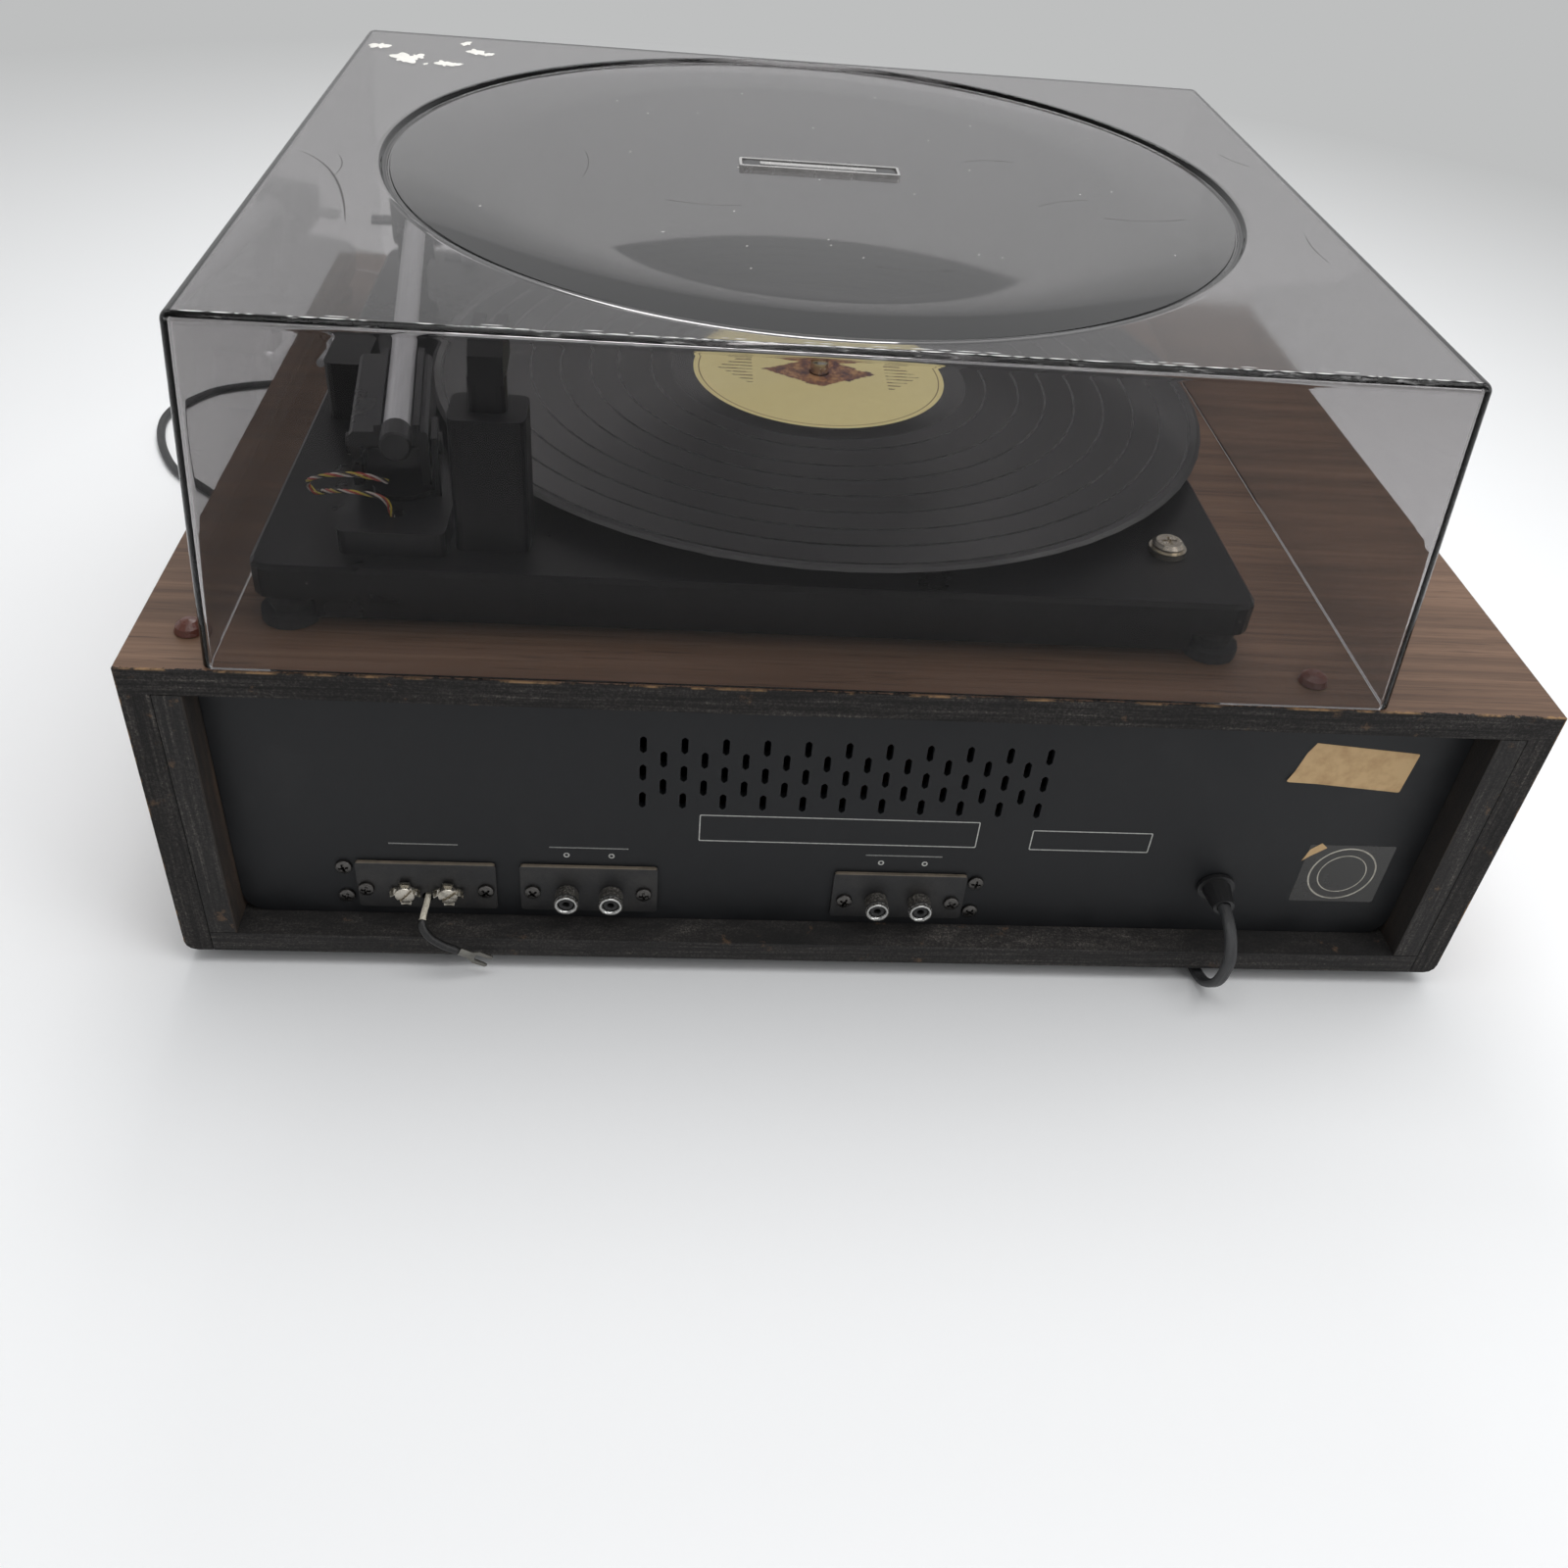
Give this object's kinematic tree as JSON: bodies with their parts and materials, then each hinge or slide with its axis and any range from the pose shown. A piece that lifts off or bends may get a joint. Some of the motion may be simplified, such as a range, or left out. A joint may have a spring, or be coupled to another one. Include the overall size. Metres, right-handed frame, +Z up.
{
  "type": "record player stereo system",
  "caption": "Wooden receiver cabinet with a turntable deck and tone arm on top under a clear lid, and a rear panel with vents, terminals and sockets.",
  "frame": {"origin": "centre of the footprint, at the plane that the feet stand on, without the cord", "axes": "+X along the cabinet's width, to the left as seen from behind, +Y out of the rear panel, +Z up"},
  "size_m": [0.5984, 0.5055, 0.2428],
  "materials": {
    "cabinet_wrap": "satin",
    "bottom_board": "matte",
    "batten_left": "matte",
    "batten_right": "matte",
    "rear_panel": "matte",
    "antenna_plate": "satin",
    "tape_plate": "satin",
    "speaker_plate": "satin",
    "terminal_left": "polished",
    "terminal_right": "polished",
    "strain_relief": "matte",
    "power_cord": "matte",
    "cord_coil": "matte",
    "power_plug": "matte",
    "antenna_lead": "matte",
    "antenna_lug": "satin",
    "lid_dome_left": "satin",
    "lid_dome_right": "satin",
    "chassis": "matte",
    "transformer": "matte",
    "circuit_board": "matte",
    "tuning_capacitor": "satin",
    "fascia": "satin",
    "dial_glass": "polished",
    "dial_pointer": "satin",
    "deck_plate": "gloss",
    "transit_screw_rear": "polished",
    "transit_screw_front": "polished",
    "motor": "satin",
    "motor_pulley": "satin",
    "idler_wheel": "matte",
    "spindle": "polished",
    "platter": "satin",
    "platter_mat": "matte",
    "record": "gloss",
    "arm_pedestal": "satin",
    "overarm_post": "satin",
    "arm_rest": "satin",
    "arm_leads": "satin",
    "arm_gimbal": "satin",
    "arm_housing": "satin",
    "arm_tube": "satin",
    "headshell": "satin",
    "cue_lever": "polished",
    "start_lever": "satin",
    "speed_lever": "satin",
    "dust_cover": "polished",
    "power_button": "satin",
    "foot_rear_left": "matte",
    "foot_rear_right": "matte",
    "foot_front_left": "matte",
    "foot_front_right": "matte",
    "deck_mount_rear_left": "matte",
    "deck_mount_rear_right": "matte",
    "deck_mount_front_left": "matte",
    "deck_mount_front_right": "matte",
    "tuning_knob": "satin",
    "volume_knob": "satin",
    "tone_knob": "satin",
    "function_knob": "satin"
  },
  "bodies": {
    "cabinet": {"cabinet_wrap": "cabinet_wrap", "bottom_board": "bottom_board", "batten_left": "batten_left", "batten_right": "batten_right", "rear_panel": "rear_panel", "antenna_plate": "antenna_plate", "tape_plate": "tape_plate", "speaker_plate": "speaker_plate", "terminal_left": "terminal_left", "terminal_right": "terminal_right", "strain_relief": "strain_relief", "power_cord": "power_cord", "cord_coil": "cord_coil", "power_plug": "power_plug", "antenna_lead": "antenna_lead", "antenna_lug": "antenna_lug", "lid_dome_left": "lid_dome_left", "lid_dome_right": "lid_dome_right", "chassis": "chassis", "transformer": "transformer", "circuit_board": "circuit_board", "tuning_capacitor": "tuning_capacitor", "fascia": "fascia", "dial_glass": "dial_glass", "deck_plate": "deck_plate", "transit_screw_rear": "transit_screw_rear", "transit_screw_front": "transit_screw_front", "motor": "motor", "spindle": "spindle", "arm_pedestal": "arm_pedestal", "overarm_post": "overarm_post", "arm_rest": "arm_rest", "arm_leads": "arm_leads", "foot_rear_left": "foot_rear_left", "foot_rear_right": "foot_rear_right", "foot_front_left": "foot_front_left", "foot_front_right": "foot_front_right", "deck_mount_rear_left": "deck_mount_rear_left", "deck_mount_rear_right": "deck_mount_rear_right", "deck_mount_front_left": "deck_mount_front_left", "deck_mount_front_right": "deck_mount_front_right"},
    "cover": {"dust_cover": "dust_cover"},
    "platter_body": {"platter": "platter", "platter_mat": "platter_mat", "record": "record"},
    "idler_body": {"idler_wheel": "idler_wheel"},
    "pulley_body": {"motor_pulley": "motor_pulley"},
    "arm_base": {"arm_gimbal": "arm_gimbal"},
    "arm": {"arm_housing": "arm_housing", "arm_tube": "arm_tube", "headshell": "headshell"},
    "cue_body": {"cue_lever": "cue_lever"},
    "start_body": {"start_lever": "start_lever"},
    "speed_body": {"speed_lever": "speed_lever"},
    "tuning_body": {"tuning_knob": "tuning_knob"},
    "pointer_body": {"dial_pointer": "dial_pointer"},
    "volume_body": {"volume_knob": "volume_knob"},
    "tone_body": {"tone_knob": "tone_knob"},
    "function_body": {"function_knob": "function_knob"},
    "button_body": {"power_button": "power_button"}
  },
  "joints": [
    {"name": "cover_lift", "type": "slide", "parent": "cabinet", "child": "cover", "axis": [0, 0, 1], "range_m": [0, 0.16]},
    {"name": "platter_spin", "type": "hinge", "parent": "cabinet", "child": "platter_body", "pos_m": [0.0083, 0.01, 0.1305], "axis": [0, 0, -1], "continuous": true},
    {"name": "idler_spin", "type": "hinge", "parent": "cabinet", "child": "idler_body", "pos_m": [-0.05354, -0.06369, 0.1305], "axis": [0, 0, -1], "continuous": true},
    {"name": "pulley_spin", "type": "hinge", "parent": "cabinet", "child": "pulley_body", "pos_m": [-0.05115, -0.04353, 0.1305], "axis": [0, 0, -1], "continuous": true},
    {"name": "arm_swing", "type": "hinge", "parent": "cabinet", "child": "arm_base", "pos_m": [0.1535, 0.1195, 0.1305], "axis": [0, 0, -1], "range_deg": [0, 44]},
    {"name": "arm_tilt", "type": "hinge", "parent": "arm_base", "child": "arm", "pos_m": [0.1535, 0.1195, 0.1785], "axis": [-0.9934, -0.1144, 0], "range_deg": [0, 12]},
    {"name": "cue_turn", "type": "hinge", "parent": "cabinet", "child": "cue_body", "pos_m": [0.1912, 0.039, 0.169], "axis": [-1, 0, 0], "range_deg": [0, 70]},
    {"name": "start_slide", "type": "slide", "parent": "cabinet", "child": "start_body", "axis": [1, 0, 0], "range_m": [0, 0.008]},
    {"name": "speed_slide", "type": "slide", "parent": "cabinet", "child": "speed_body", "axis": [1, 0, 0], "range_m": [0, 0.008]},
    {"name": "tuning_turn", "type": "hinge", "parent": "cabinet", "child": "tuning_body", "pos_m": [0.15, -0.1675, 0.043], "axis": [0, 1, 0], "range_deg": [-540, 540]},
    {"name": "pointer_slide", "type": "slide", "parent": "cabinet", "child": "pointer_body", "axis": [1, 0, 0], "range_m": [-0.085, 0.085]},
    {"name": "volume_turn", "type": "hinge", "parent": "cabinet", "child": "volume_body", "pos_m": [0.005, -0.1675, 0.043], "axis": [0, 1, 0], "range_deg": [-150, 150]},
    {"name": "tone_turn", "type": "hinge", "parent": "cabinet", "child": "tone_body", "pos_m": [-0.055, -0.1675, 0.043], "axis": [0, 1, 0], "range_deg": [-150, 150]},
    {"name": "function_turn", "type": "hinge", "parent": "cabinet", "child": "function_body", "pos_m": [-0.115, -0.1675, 0.043], "axis": [0, 1, 0], "range_deg": [-60, 60]},
    {"name": "power_push", "type": "slide", "parent": "cabinet", "child": "button_body", "axis": [0, 1, 0], "range_m": [0, 0.004], "stiffness_N_per_m": 400}
  ],
  "couplings": [
    {"joint": "idler_spin", "follows": "platter_spin", "ratio": 7.0312},
    {"joint": "pulley_spin", "follows": "platter_spin", "ratio": -28.125},
    {"joint": "pointer_slide", "follows": "tuning_turn", "m_per_rad": 0.009018}
  ]
}
